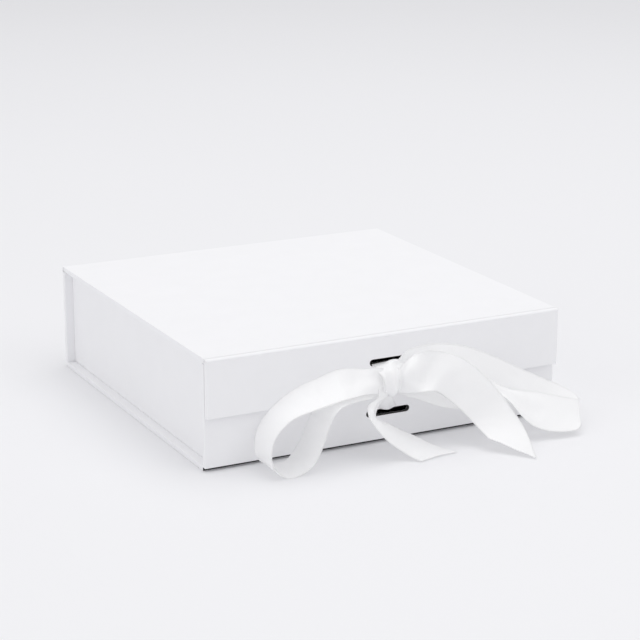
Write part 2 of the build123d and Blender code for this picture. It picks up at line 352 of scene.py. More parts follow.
@dataclass(frozen=True)
class SatinFinish:
    """Woven satin: long floats that run along the ribbon, a corded edge and a soft sheen."""

    name: str
    pale: Colour
    deep: Colour
    roughness: float
    floats: Point = (5.0, 95.0, 1.0)
    threads: Point = (30.0, 200.0, 1.0)
    float_relief: float = 0.02 * MM
    streak_range: Pair = (0.25, 0.75)
    edge_share: float = 0.028
    edge_fade: float = 0.01
    edge_relief: float = 0.10 * MM
    cord_relief: float = 0.05 * MM
    cord_count: float = 45.0
    sheen: float = 0.10
    glow: float = 0.8
    glow_depth: float = 0.5 * MM
    rough_drift: Pair = (-0.05, 0.07)

    def material(self) -> Material:
        """Make the ribbon's material.

        Returns:
            The material.
        """
        board = NodeBoard(self.name)
        place = board.add("ShaderNodeUVMap", {}, uv_map=RIBBON_MAP).outputs["UV"]
        streaks = board.noise(self.stretched(board, place, self.floats), 1.0, detail=3)
        threads = board.noise(self.stretched(board, place, self.threads), 1.0, detail=1)
        edge, cords = self.selvedge(board, place)
        tone = board.spread(streaks, 0.0, 1.0, *self.streak_range)
        lifted = board.bump(board.spread(edge, 0.0, 1.0, 0.0, 1.0), self.edge_relief)
        corded = board.bump(cords, self.cord_relief, lifted)
        board.shade(
            {
                "Base Color": board.two_tone(tone, self.deep, self.pale),
                "Roughness": board.spread(streaks, *(self.roughness + drift for drift in self.rough_drift)),
                "Specular IOR Level": 0.42,
                "Subsurface Weight": self.glow,
                "Subsurface Radius": (1.0, 1.0, 1.0),
                "Subsurface Scale": self.glow_depth,
                "Sheen Weight": self.sheen,
                "Sheen Roughness": 0.35,
                "Normal": board.bump(threads, self.float_relief, corded),
            }
        )
        return board.material

    def stretched(self, board: NodeBoard, place: Socket, scale: Point) -> Socket:
        """The place on the ribbon, in its widths, made finer by a scale along, across and up."""
        return board.add("ShaderNodeMapping", {"Vector": place, "Scale": scale}).outputs["Vector"]

    def selvedge(
        self, board: NodeBoard, place: Socket
    ) -> tuple[Socket, Socket]:
        """The woven edge of the ribbon.

        Args:
            board: The material's nodes.
            place: The place, in ribbon widths.

        Returns:
            How much of the edge is here, and the height of its cords.
        """
        parts = board.add("ShaderNodeSeparateXYZ", {"Vector": place})
        middle = board.add("ShaderNodeMath", {0: parts.outputs["Y"], 1: 0.5}, operation="SUBTRACT")
        aside = board.add("ShaderNodeMath", {0: middle.outputs["Value"]}, operation="ABSOLUTE")
        inner = 0.5 - self.edge_share
        edge = board.spread(aside.outputs["Value"], 0.0, 1.0, inner - self.edge_fade, inner)
        turns = board.add(
            "ShaderNodeMath", {0: parts.outputs["X"], 1: 2 * pi * self.cord_count}, operation="MULTIPLY"
        )
        wave = board.add("ShaderNodeMath", {0: turns.outputs["Value"]}, operation="SINE")
        cords = board.add("ShaderNodeMath", {0: wave.outputs["Value"], 1: edge}, operation="MULTIPLY")
        return edge, cords.outputs["Value"]


@dataclass(frozen=True)
class FloorFinish:
    """Plain pale sweep paper under the box."""

    name: str
    pale: Colour
    deep: Colour
    roughness: float
    cloud: float = 0.9

    def material(self) -> Material:
        """Make the floor's material.

        Returns:
            The material.
        """
        board = NodeBoard(self.name)
        clouds = board.noise(board.solid_place(), self.cloud, detail=1)
        board.shade(
            {
                "Base Color": board.two_tone(board.spread(clouds, 0.0, 1.0), self.deep, self.pale),
                "Roughness": self.roughness,
                "Specular IOR Level": 0.15,
            }
        )
        return board.material


WRAP_PAPER = PaperFinish(
    "wrap_paper", pale=(0.930, 0.930, 0.945), deep=(0.918, 0.918, 0.932), roughness=0.56
)
# The base's paper paints a near-black shade on its front edge low down, for the shadow in the gap under the
# front wall.
BASE_PAPER_GAP_SHADE = replace(WRAP_PAPER, name="base_paper_gap_shade", gap_shade_height=2.3 * MM)
LINER_PAPER = PaperFinish(
    "liner_paper", pale=(0.872, 0.870, 0.872), deep=(0.852, 0.850, 0.850), roughness=0.66
)
GREYBOARD = BoardFinish("greyboard", pale=(0.150, 0.146, 0.140), deep=(0.060, 0.059, 0.058))
SATIN = SatinFinish(
    "satin_ribbon", pale=(0.940, 0.940, 0.950), deep=(0.920, 0.920, 0.931), roughness=0.40
)
NICKEL = MetalFinish(
    "magnet_nickel", pale=(0.78, 0.77, 0.74), deep=(0.70, 0.69, 0.67), roughness=0.26
)
STEEL = MetalFinish(
    "steel", pale=(0.60, 0.60, 0.61), deep=(0.50, 0.50, 0.51), roughness=0.38
)
SWEEP = FloorFinish(
    "floor_sweep", pale=(0.885, 0.885, 0.900), deep=(0.875, 0.875, 0.890), roughness=0.8
)


class Curve:
    """A smooth curve through given values at given distances, free at both ends."""

    def __init__(self, distances: np.ndarray, values: np.ndarray) -> None:
        """Work out how the curve bends at each value.

        Args:
            distances: The distances, rising.
            values: One row for each distance.
        """
        self.distances = distances
        self.values = values
        self.gaps = np.diff(distances)
        slopes = np.diff(values, axis=0) / self.gaps[:, None]
        system = np.eye(len(distances))
        target = np.zeros_like(values)
        for i in range(1, len(distances) - 1):
            before, after = self.gaps[i - 1], self.gaps[i]
            system[i, i - 1 : i + 2] = before, 2 * (before + after), after
            target[i] = 6 * (slopes[i] - slopes[i - 1])
        self.bends = np.linalg.solve(system, target)

    def at(self, where: np.ndarray) -> np.ndarray:
        """The curve's values.

        Args:
            where: Distances, in any shape.

        Returns:
            A row of values for each of them.
        """
        span = np.clip(np.searchsorted(self.distances, where) - 1, 0, len(self.gaps) - 1)
        gap = self.gaps[span][..., None]
        passed = (where - self.distances[span])[..., None]
        left = gap - passed
        curved = (self.bends[span] * left**3 + self.bends[span + 1] * passed**3) / (6 * gap)
        from_start = (self.values[span] / gap - self.bends[span] * gap / 6) * left
        from_end = (self.values[span + 1] / gap - self.bends[span + 1] * gap / 6) * passed
        return curved + from_start + from_end


def sheet_mesh(
    name: str, points: np.ndarray, marks: Optional[np.ndarray] = None, ring: bool = False
) -> Piece:
    """Make a smooth sheet from a grid of points.

    Args:
        name: The piece's name.
        points: The grid, along by across by 3.
        marks: The map of the sheet, along by across by 2.
        ring: Whether the last row joins the first.

    Returns:
        The piece.
    """
    along, across = points.shape[:2]
    grid = np.arange(along * across).reshape(along, across)
    if ring:
        grid = np.vstack([grid, grid[:1]])
    corners = [grid[:-1, :-1], grid[:-1, 1:], grid[1:, 1:], grid[1:, :-1]]
    faces = np.stack(corners, axis=-1).reshape(-1, 4)
    mesh = bpy.data.meshes.new(name)
    mesh.from_pydata(points.reshape(-1, 3).tolist(), [], faces.tolist())
    mesh.polygons.foreach_set("use_smooth", np.ones(len(faces), dtype=bool))
    if marks is not None:
        if ring:
            marks = np.vstack([marks, 2 * marks[-1:] - marks[-2:-1]])
        cells = [marks[:-1, :-1], marks[:-1, 1:], marks[1:, 1:], marks[1:, :-1]]
        layer = mesh.uv_layers.new(name=RIBBON_MAP)
        layer.uv.foreach_set("vector", np.stack(cells, axis=2).astype(np.float32).ravel())
    mesh.update()
    piece = bpy.data.objects.new(name, mesh)
    bpy.context.scene.collection.objects.link(piece)
    return piece


def thicken(piece: Piece, thickness: float, offset: float) -> None:
    """Give a sheet its thickness.

    Args:
        piece: The sheet.
        thickness: How thick it is.
        offset: Which side it grows to: -1 back, 0 both, 1 front.
    """
    solidify = piece.modifiers.new("thickness", "SOLIDIFY")
    solidify.thickness = thickness
    solidify.offset = offset
    solidify.use_even_offset = True


def settle(piece: Piece) -> None:
    """Apply a piece's modifiers to its mesh.

    Args:
        piece: The piece.
    """
    bpy.context.view_layer.update()
    shape = piece.evaluated_get(bpy.context.evaluated_depsgraph_get())
    final = bpy.data.meshes.new_from_object(shape)
    piece.modifiers.clear()
    piece.data = final


def make_sheer(piece: Piece) -> None:
    """Let the light that surfaces scatter pass through a ribbon, so that it shades little behind it."""
    piece.visible_diffuse = False


def dress(piece: Piece, material: Material) -> None:
    """Give a new piece its material."""
    piece.data.materials.append(material)


@dataclass
class Case:
    """The wrapped boards, their paper hinges and the discs that are sunk in them."""

    paper_thickness: float = 0.25 * MM
    fold_radius: float = 1.5 * MM
    fold_steps: int = 14
    fold_columns: int = 46
    fold_rim: float = 0.3 * MM
    tuck_share: float = 0.1
    wrap: Optional[Material] = None

    def make(self) -> None:
        """Dress the boards, papers and discs, and make the two hinges."""
        self.dress_nodes()
        self.make_lid_fold()
        self.make_flap_fold()

    def dress_nodes(self) -> None:
        """Give each rigid node the finish of its kind."""
        self.wrap, liner = WRAP_PAPER.material(), LINER_PAPER.material()
        kinds = {
            "base_wrap": BASE_PAPER_GAP_SHADE.material(),
            "_wrap": self.wrap,
            "_liner": liner,
            "_board": GREYBOARD.material(),
            "corner_tabs": liner,
            "steel_discs": STEEL.material(),
            "magnets": NICKEL.material(),
        }
        for name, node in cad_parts.items():
            finish = next((kinds[ending] for ending in kinds if name.endswith(ending)), None)
            if finish is not None:
                for place in node.material_slots:
                    place.material = finish
                log.info("%s: %s", name, finish.name)

    def quarter(self, middle: Pair, start: float, end: float) -> list[Pair]:
        """Points of a quarter round across the case.

        Args:
            middle: Its middle, as y and z.
            start: The angle it starts at, in degrees from +y towards +z.
            end: The angle it ends at.

        Returns:
            Its points, as y and z.
        """
        angles = np.radians(np.linspace(start, end, self.fold_steps))
        ys = middle[0] + self.fold_radius * np.cos(angles)
        zs = middle[1] + self.fold_radius * np.sin(angles)
        return list(zip(ys.tolist(), zs.tolist()))

    def fold_piece(
        self, name: str, node: str, section: list[Pair], inner: Pair
    ) -> Piece:
        """A strip of the cover paper across the whole case, tucked in at its two ends.

        Args:
            name: The piece's name.
            node: The node that it replaces.
            section: Its outer face, as y and z.
            inner: Where its ends are tucked to, as y and z.

        Returns:
            The piece.
        """
        low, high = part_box(node)
        middles = np.linspace(low.x + self.fold_rim, high.x - self.fold_rim, self.fold_columns)
        sides = [low.x, low.x, *middles, high.x, high.x]
        outline = np.array(section)
        tucked = np.array(inner) + self.tuck_share * (outline - np.array(inner))
        edges = [tucked] + [outline] * (len(sides) - 2) + [tucked]
        columns = [[(x, *place) for place in edge] for x, edge in zip(sides, edges)]
        points = np.array(columns).transpose(1, 0, 2)
        piece = sheet_mesh(name, points)
        thicken(piece, self.paper_thickness, offset=1)
        settle(piece)
        dress(piece, self.wrap)
        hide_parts(node)
        log.info("%s: paper hinge", name)
        return piece

    def make_lid_fold(self) -> None:
        """Make the hinge from the spine to the lid."""
        low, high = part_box("lid_fold")
        middle = (high.y - self.fold_radius, high.z - self.fold_radius)
        section = [(high.y, low.z)] + self.quarter(middle, start=0, end=90)
        piece = self.fold_piece("lid_hinge_paper", "lid_fold", section, middle)
        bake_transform(piece)

    def make_flap_fold(self) -> None:
        """Make the hinge from the lid to the flap."""
        low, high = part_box("flap_fold")
        middle = (low.y + self.fold_radius, high.z - self.fold_radius)
        section = [(high.y, high.z)] + self.quarter(middle, start=90, end=180)
        piece = self.fold_piece("flap_hinge_paper", "flap_fold", section, middle)
        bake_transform(piece)


@dataclass(frozen=True)
class Station:
    """A place along a ribbon of the bow.

    side is its distance from the knot's middle as a share of the ribbon's reach, out the distance of
    its back edge from the flap as a share of how far the ribbon comes forward, and rise its height as
    a share of the knot's. swing turns the ribbon's width from straight back to the right and tilt
    lifts it, in degrees. gather is the share of the width that is left after gathering.
    """

    side: float
    out: float
    rise: float
    swing: float
    tilt: float
    gather: float


@dataclass(frozen=True)
class Section:
    """A ribbon's middle, the direction across it and the share of its width that is left."""

    middle: Point
    across: Point
    gather: float


@dataclass(frozen=True)
class Strip:
    """A loop or tail of the bow: its reach along the front, how far it comes forward, and its stations.

    pleats is how many pleats its gathered width has, phase where they start, and crease how far they
    may stand off. slant is how much shorter it is at its front edge, and puff how far it swells beside
    the knot.
    """

    name: str
    node: str
    reach: float
    forward: float
    stations: tuple[Station, ...]
    pleats: float = 1.5
    phase: float = 0.0
    slant: float = 0.0
    puff: float = 0.0
    crease: float = 0.5 * MM


LEFT_LOOP = Strip(
    "left_loop_satin",
    "left_loop",
    reach=-81 * MM,
    forward=25 * MM,
    stations=(
        Station(0.16, 0.10, 1.04, 22, 47, 0.64),
        Station(0.275, 0.03, 1.07, 21, 30, 0.86),
        Station(0.395, 0.01, 1.08, 19, 26, 1),
        Station(0.56, 0.01, 1.02, 15, 21, 1),
        Station(0.705, 0.01, 0.955, 9, 14, 1),
        Station(0.835, 0.01, 0.85, 6, 5, 1),
        Station(0.925, 0.01, 0.71, 4, 1, 1),
        Station(0.985, 0.01, 0.52, 3, -3, 1),
        Station(1.0, 0.01, 0.32, 3, -4, 1),
        Station(0.975, 0.01, 0.14, 3, -3, 1),
        Station(0.90, 0.01, 0.03, 4, 0, 1),
        Station(0.80, 0.01, 0.02, 4, 0, 1),
        Station(0.705, 0.01, 0.115, -3, -3, 1),
        Station(0.645, 0.01, 0.28, -4, -7, 1),
        Station(0.605, 0.01, 0.46, -4, -9, 1),
        Station(0.57, 0.01, 0.635, -3, -9, 1),
        Station(0.51, 0.01, 0.805, 2, -6, 1),
        Station(0.395, 0.01, 0.905, 8, 3, 0.9),
        Station(0.265, 0.015, 0.925, 10, 16, 0.72),
        Station(0.16, 0.03, 0.94, 8, 46, 0.6),
    ),
    pleats=1.2,
    phase=0.6,
    puff=-1.4 * MM,
    crease=0.3 * MM,
)

RIGHT_LOOP = Strip(
    "right_loop_satin",
    "right_loop",
    reach=117.5 * MM,
    forward=25 * MM,
    stations=(
        Station(0.105, 0.065, 1.09, 0, 75, 0.78),
        Station(0.185, 0.05, 1.11, 3, 71, 0.95),
        Station(0.29, 0.05, 1.10, 5, 70, 1),
        Station(0.405, 0.05, 1.03, 6, 70, 1),
        Station(0.525, 0.055, 0.90, 8, 69, 1),
        Station(0.64, 0.09, 0.735, 10, 67, 1),
        Station(0.755, 0.16, 0.555, 13, 62, 1),
        Station(0.86, 0.24, 0.41, 18, 54, 1),
        Station(0.94, 0.305, 0.32, 23, 40, 1),
        Station(0.985, 0.41, 0.27, 27, 28, 1),
        Station(1.0, 0.545, 0.24, 30, 20, 1),
        Station(0.98, 0.70, 0.235, 32, 24, 1),
        Station(0.925, 0.79, 0.255, 33, 32, 1),
        Station(0.855, 0.795, 0.295, 31, 39, 1),
        Station(0.785, 0.735, 0.345, 28, 42, 1),
        Station(0.705, 0.61, 0.42, 25, 37, 0.95),
        Station(0.64, 0.53, 0.535, 24, 24, 0.78),
        Station(0.595, 0.40, 0.645, 22, 14, 0.56),
        Station(0.49, 0.35, 0.745, 9, 52, 0.7),
        Station(0.36, 0.36, 0.77, 3, 68, 0.92),
        Station(0.225, 0.31, 0.845, 0, 72, 0.86),
        Station(0.115, 0.29, 0.93, 0, 77, 0.68),
    ),
    pleats=1.6,
    phase=2.1,
    puff=0.8 * MM,
)

FRONT_TAIL = Strip(
    "front_tail_satin",
    "front_tail",
    reach=19.5 * MM,
    forward=31 * MM,
    stations=(
        Station(-0.46, 0.26, 0.755, 70, -4, 0.46),
        Station(-0.70, 0.275, 0.69, 50, -12, 0.64),
        Station(-0.80, 0.282, 0.60, 38, -16, 0.9),
        Station(-0.589, 0.282, 0.485, 40, -11, 1),
        Station(-0.18, 0.289, 0.315, 43, -3, 1),
        Station(0.28, 0.334, 0.165, 45, 2, 1),
        Station(0.59, 0.516, 0.07, 53, 1, 1),
        Station(0.82, 0.731, 0.025, 62, 0, 1),
        Station(1.0, 0.991, 0.017, 70, 0, 1),
    ),
    pleats=1.5,
    phase=1.2,
    slant=6 * MM,
)

RIGHT_TAIL = Strip(
    "right_tail_satin",
    "right_tail",
    reach=60.5 * MM,
    forward=60 * MM,
    stations=(
        Station(0.215, 0.16, 1.10, 20, 66, 0.88),
        Station(0.36, 0.165, 1.125, 40, 54, 1),
        Station(0.515, 0.195, 1.065, 62, 47, 1),
        Station(0.685, 0.26, 0.89, 80, 42, 1),
        Station(0.82, 0.325, 0.675, 84, 30, 1),
        Station(0.92, 0.39, 0.475, 86, 20, 1),
        Station(0.98, 0.48, 0.315, 86, 12, 1),
        Station(1.0, 0.60, 0.185, 82, 5, 1),
        Station(0.965, 0.775, 0.07, 76, 1, 1),
        Station(0.89, 0.995, 0.02, 68, 0, 1),
    ),
    pleats=1.4,
    phase=0.2,
    slant=32 * MM,
    puff=5.0 * MM,
)


def width_direction(swing: float, tilt: float) -> np.ndarray:
    """The direction across a ribbon, front edge to back: its turn to the right and its lift, in degrees."""
    level = cos(radians(tilt))
    return np.array((sin(radians(swing)) * level, cos(radians(swing)) * level, sin(radians(tilt))))


@dataclass
class Bow:
    """The satin ribbon: its ends in the slots, the knot, the two loops and the two tails."""

    width: float = 25 * MM
    thickness: float = 0.3 * MM
    clearance: float = 0.7 * MM
    knot_gather: float = 0.6
    tuck_gather: float = 0.7
    face_gather: float = 0.95
    neck_gather: float = 0.42
    band_tilt: float = 80.0
    band_step: float = 1.9 * MM
    band_lift: float = 1.5 * MM
    tail_step: float = 3.4 * MM
    tail_aside: float = 3.6 * MM
    tail_turn: float = 78.0
    tuck: float = 4.5 * MM
    along_step: float = 1.1 * MM
    least_rows: int = 24
    columns: int = 49
    floor_gap: float = 0.25 * MM
    least_gather: float = 0.2
    pleat_slope: float = 1.48
    pleat_edge_fall: float = 0.22
    pleat_uneven: float = 0.16
    pleat_drift: float = 2.3
    crown: float = 0.45 * MM
    puff_place: float = 9 * MM
    puff_reach: float = 7 * MM
    valley_place: float = 22 * MM
    valley_reach: float = 6 * MM
    valley_share: float = 0.8
    ripple: float = 0.25 * MM
    ripple_reach: float = 14 * MM
    ripple_waves: Pair = (30.0, 5.2)
    wander: float = 0.15 * MM
    fine_waves: Pair = (95.0, 1.9)
    broad_waves: Pair = (41.0, 1.1)
    knot_rows: int = 96
    knot_corner: float = 2.6
    knot_pleats: float = 1.1
    knot_phase: float = 0.5
    knot_twist: float = 0.7
    knot_pleat_depth: float = 0.03
    knot_fill: float = 0.95
    knot_edge_fall: float = 0.12
    knot_flare: float = 0.14
    satin: Optional[Material] = None

    def __post_init__(self) -> None:
        """Take the knot's place and the flap's face from the frame."""
        low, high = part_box("bow_knot")
        self.knot_low, self.knot_high = np.array(low), np.array(high)
        self.knot = (self.knot_low + self.knot_high) / 2
        self.flap_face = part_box("flap_wrap")[0].y

    def make(self) -> None:
        """Make all of the ribbon."""
        self.satin = SATIN.material()
        knot = self.make_knot()
        for side, loop in ((-1, LEFT_LOOP), (1, RIGHT_LOOP)):
            leaves = self.knot_side(side, -side * self.band_step, self.band_lift)
            returns = self.knot_side(side, side * self.band_step, -self.band_lift)
            self.make_strip(loop, leaves, returns[::-1])
        self.make_strip(FRONT_TAIL, self.knot_underside(), [])
        self.make_strip(RIGHT_TAIL, self.knot_side(1, 2 * self.band_step, 0), [])
        self.make_upper_lead()
        self.make_lower_lead()
        self.make_neck()

    def knot_side(self, side: int, step: float, lift: float) -> list[Section]:
        """The gathered band where a ribbon leaves the knot's left or right side, from inside it.

        Args:
            side: -1 for left, 1 for right.
            step: How far in front of the knot's middle.
            lift: How far above the knot's middle.

        Returns:
            Two sections, the second one on the knot's face.
        """
        across = tuple(width_direction(0, self.band_tilt))
        face = self.knot_high[0] if side > 0 else self.knot_low[0]
        places = ((face - side * self.tuck, self.tuck_gather), (face, self.face_gather))
        y, z = self.knot[1] - step, self.knot[2] + lift
        return [Section((x, y, z), across, share * self.knot_gather) for x, share in places]

    def knot_underside(self) -> list[Section]:
        """The gathered band where the front tail leaves the knot's underside, from inside it.

        Returns:
            Two sections, the second one on the knot's underside.
        """
        across = tuple(width_direction(self.tail_turn, 0))
        y = self.knot[1] - self.tail_step
        heights = (self.knot_low[2] + self.tuck, self.knot_low[2])
        return [Section((self.knot[0] - self.tail_aside, y, z), across, self.neck_gather) for z in heights]

    def section_at(self, strip: Strip, station: Station) -> Section:
        """The ribbon at a station.

        Args:
            strip: The loop or tail.
            station: The station.

        Returns:
            Its section.
        """
        across = width_direction(station.swing, station.tilt)
        back_edge = self.flap_face - self.clearance - station.out * strip.forward
        middle = (
            self.knot[0] + station.side * strip.reach,
            back_edge - across[1] * station.gather * self.width / 2,
            self.knot[2] * station.rise,
        )
        return Section(middle, tuple(across), station.gather)

    def surface(
        self,
        sections: list[Section],
        pleats: float,
        phase: float,
        ends: tuple[bool, bool],
        slant: float = 0.0,
        puff: float = 0.0,
        crease: float = 1.1 * MM,
    ) -> tuple[np.ndarray, np.ndarray, float]:
        """The ribbon's middle surface through its sections.

        Args:
            sections: The sections in order.
            pleats: How many pleats the gathered width has.
            phase: Where the pleats start.
            ends: Whether the start and the end are gathered in the knot.
            slant: How much shorter the ribbon is at its front edge.
            puff: How far it swells beside the knot.
            crease: How far its pleats may stand off.

        Returns:
            The grid of points, its map in ribbon widths, and the ribbon's length.
        """
        middles = np.array([section.middle for section in sections])
        halves = np.array([np.array(s.across) * s.gather * self.width / 2 for s in sections])
        gaps = np.linalg.norm(np.diff(middles, axis=0), axis=1)
        distances = np.concatenate([[0.0], np.cumsum(gaps)])
        course = Curve(distances, np.hstack([middles, halves]))
        length = distances[-1]
        rows = max(int(length / self.along_step), self.least_rows)
        share = np.linspace(-1, 1, self.columns)
        run = np.linspace(0, 1, rows)[:, None] * (length - slant * (1 - share) / 2)[None, :]
        values = course.at(run)
        step = self.along_step / 2
        ahead = course.at(run + step)[..., :3] - course.at(run - step)[..., :3]
        half = values[..., 3:]
        reach = np.linalg.norm(half, axis=-1)
        normal = np.cross(ahead, half)
        normal /= np.linalg.norm(normal, axis=-1)[..., None]
        across = np.broadcast_to(share, run.shape)
        offset = self.pleat_height(reach, across, pleats, phase, crease)
        offset += self.drape_height(run, across, length, ends, phase)
        swell = np.exp(-(((run - self.puff_place) / self.puff_reach) ** 2))
        swell -= self.valley_share * np.exp(-(((run - self.valley_place) / self.valley_reach) ** 2))
        offset += puff * (1 - across**2) * swell
        points = values[..., :3] + half * across[..., None] + normal * offset[..., None]
        points[..., 2] = np.maximum(points[..., 2], self.floor_gap)
        marks = np.stack([run / self.width, (across + 1) / 2], axis=-1)
        return points, marks, length

    def pleat_height(
        self, reach: np.ndarray, across: np.ndarray, pleats: float, phase: float, crease: float
    ) -> np.ndarray:
        """How far the pleats stand off the ribbon's middle surface, to take up its whole width.

        Args:
            reach: Half the gathered width.
            across: The place across the ribbon, -1 to 1.
            pleats: How many pleats there are.
            phase: Where they start.
            crease: How far they may stand off.

        Returns:
            The height.
        """
        gather = np.clip(2 * reach / self.width, self.least_gather, 1.0)
        steepness = self.pleat_slope * np.sqrt(1 / gather**2 - 1)
        height = steepness * 2 * reach / (2 * pi * pleats)
        drift = self.pleat_uneven * np.sin(self.pleat_drift * across + phase)
        uneven = 1 - self.pleat_edge_fall * across**2 + drift
        return np.minimum(height, crease) * uneven * np.sin(pi * pleats * across + phase)

    def drape_height(
        self, run: np.ndarray, across: np.ndarray, length: float, ends: tuple[bool, bool], phase: float
    ) -> np.ndarray:
        """The ribbon's slight crown, the creases that run out from the knot, and its uneven lie.

        Args:
            run: The distance along the ribbon.
            across: The place across it, -1 to 1.
            length: The ribbon's length.
            ends: Whether the start and the end are gathered in the knot.
            phase: Makes each ribbon lie its own way.

        Returns:
            The height.
        """
        from_knot = np.full(run.shape, np.inf)
        if ends[0]:
            from_knot = np.minimum(from_knot, run)
        if ends[1]:
            from_knot = np.minimum(from_knot, length - run)
        near = np.exp(-from_knot / self.ripple_reach)
        crown = self.crown * (1 - across**2) * (1 - near)
        along, aside = self.ripple_waves
        ripple = self.ripple * near * np.sin(aside * across + 2.0 * phase + along * run)
        along, aside = self.fine_waves
        fine = np.sin(along * run + aside * across + phase)
        along, aside = self.broad_waves
        lie = fine * np.cos(along * run - aside * across + 2 * phase)
        return crown + ripple + self.wander * lie * (1 - near)

    def cloth(
        self, name: str, body: Body, nodes: tuple[str, ...], points: np.ndarray, marks: np.ndarray
    ) -> Piece:
        """Make a length of ribbon that moves with a body.

        Args:
            name: The piece's name.
            body: The body that it rides on.
            nodes: The nodes that it replaces.
            points: Its grid of points.
            marks: Its map.

        Returns:
            The piece.
        """
        piece = sheet_mesh(name, points, marks)
        thicken(piece, self.thickness, offset=0)
        dress(piece, self.satin)
        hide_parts(*nodes)
        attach(piece, body.value)
        make_sheer(piece)
        log.info("%s: ribbon on the %s", name, body.value)
        return piece

    def make_strip(
        self, strip: Strip, start: list[Section], end: list[Section]
    ) -> None:
        """Make a loop or a tail.

        Args:
            strip: The loop or tail.
            start: Its sections in the knot, where it leaves.
            end: Its sections in the knot, where it comes back.
        """
        sections = start + [self.section_at(strip, station) for station in strip.stations] + end
        ends = (True, bool(end))
        points, marks, length = self.surface(
            sections, strip.pleats, strip.phase, ends, strip.slant, strip.puff, strip.crease
        )
        piece = self.cloth(strip.name, Body.FLAP, (strip.node,), points, marks)

    def make_knot(self) -> Piece:
        """Make the band that is drawn round the middle of the bow.

        Returns:
            The band.
        """
        turn = np.linspace(0, 2 * pi, self.knot_rows, endpoint=False)[:, None]
        share = np.linspace(-1, 1, self.columns)[None, :]
        half = (self.knot_high - self.knot_low) / 2
        squareness = 2 / self.knot_corner
        round_y = np.sign(np.cos(turn)) * np.abs(np.cos(turn)) ** squareness
        round_z = np.sign(np.sin(turn)) * np.abs(np.sin(turn)) ** squareness
        waves = 2 * pi * self.knot_pleats * share + self.knot_phase + self.knot_twist * np.sin(turn)
        pleats = np.sin(waves) * self.knot_pleat_depth
        grow = self.knot_fill - self.knot_edge_fall * share**4 + pleats
        x = self.knot[0] + half[0] * share * (1.0 + self.knot_flare * np.sin(turn))
        y = self.knot[1] + half[1] * round_y * grow
        z = self.knot[2] + half[2] * round_z * grow
        points = np.stack(np.broadcast_arrays(x, y, z), axis=-1)
        girth = 2 * pi * float(half[1:].mean())
        along = turn / (2 * pi) * girth / self.width
        marks = np.stack(np.broadcast_arrays(along, (share + 1) / 2), axis=-1)
        piece = sheet_mesh("knot_satin", points, marks, ring=True)
        thicken(piece, self.thickness, offset=0)
        dress(piece, self.satin)
        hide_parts("bow_knot")
        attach(piece, Body.FLAP.value)
        make_sheer(piece)
        log.info("%s: ribbon on the flap", piece.name)
        return piece

    def lead_sections(self, places: list[tuple[Point, float]]) -> list[Section]:
        """Sections of a ribbon that lies straight across the box, from its middles and gathers."""
        return [Section(middle, (1.0, 0.0, 0.0), gather) for middle, gather in places]

    def make_upper_lead(self) -> None:
        """Make the ribbon that is glued inside the flap and comes out of its slot into the knot.
        """
        low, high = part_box("upper_ribbon")
        flap_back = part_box("flap_wrap")[1].y
        middle = (low.x + high.x) / 2
        slot_level = frame_slot_level("upper_ribbon")
        inner = flap_back + self.thickness
        top, front = self.knot_high[2], self.knot_low[1]
        places = [
            ((middle, inner, low.z), 1.0),
            ((middle, inner, slot_level - 5 * MM), 1.0),
            ((middle, inner - 0.3 * MM, slot_level - 0.8 * MM), 1.0),
            ((middle, flap_back - 1.4 * MM, slot_level), 1.0),
            ((middle, self.flap_face - 0.3 * MM, slot_level + 0.2 * MM), 1.0),
            ((middle * 0.6, self.flap_face - 2.6 * MM, slot_level + 0.6 * MM), 0.92),
            ((self.knot[0] * 0.6, self.knot[1] + 1.8 * MM, top + 0.8 * MM), 0.74),
            ((self.knot[0], front + 2.2 * MM, top - 1.2 * MM), 0.54),
            ((self.knot[0], front - 0.4 * MM, self.knot[2] + 1.0 * MM), 0.44),
            ((self.knot[0] + 0.5 * MM, front + 0.8 * MM, self.knot_low[2] + 1.2 * MM), 0.38),
            ((self.knot[0] + 0.5 * MM, front + 4.5 * MM, self.knot_low[2] - 0.2 * MM), 0.36),
        ]
        sections = self.lead_sections(places)
        points, marks, length = self.surface(sections, pleats=1.0, phase=0.5 * pi, ends=FREE_ENDS)
        piece = self.cloth("upper_ribbon_satin", Body.FLAP, ("upper_ribbon",), points, marks)

    def make_lower_lead(self) -> None:
        """Make the ribbon that is glued inside the front wall and comes out of its slot up to the flap."""
        low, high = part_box("lower_ribbon")
        wall_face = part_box("front_wrap")[0].y
        wall_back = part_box("front_wrap")[1].y
        middle = (low.x + high.x) / 2
        slot_level = low.z + self.thickness
        inner = wall_back + self.thickness
        end_low, end_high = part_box("lower_ribbon_end")
        end_y = (end_low.y + end_high.y) / 2
        places = [
            ((middle, inner, high.z), 1.0),
            ((middle, inner, slot_level + 5 * MM), 1.0),
            ((middle, inner - 0.3 * MM, slot_level + 0.8 * MM), 0.9),
            ((middle, wall_back - 1.4 * MM, slot_level), 0.72),
            ((middle * 0.5, wall_face - 0.4 * MM, slot_level + 0.1 * MM), 0.58),
            ((-1.0 * MM, wall_face - 2.6 * MM, slot_level + 2.2 * MM), 0.5),
            ((self.knot[0] * 0.7, end_y + 1.2 * MM, (slot_level + end_low.z) / 2 + 0.6 * MM), 0.44),
            ((self.knot[0], end_y, end_low.z - 0.4 * MM), 0.38),
        ]
        sections = self.lead_sections(places)
        points, marks, length = self.surface(sections, pleats=1.0, phase=-0.5 * pi, ends=FREE_ENDS)
        piece = self.cloth("lower_ribbon_satin", Body.TRAY, ("lower_ribbon",), points, marks)

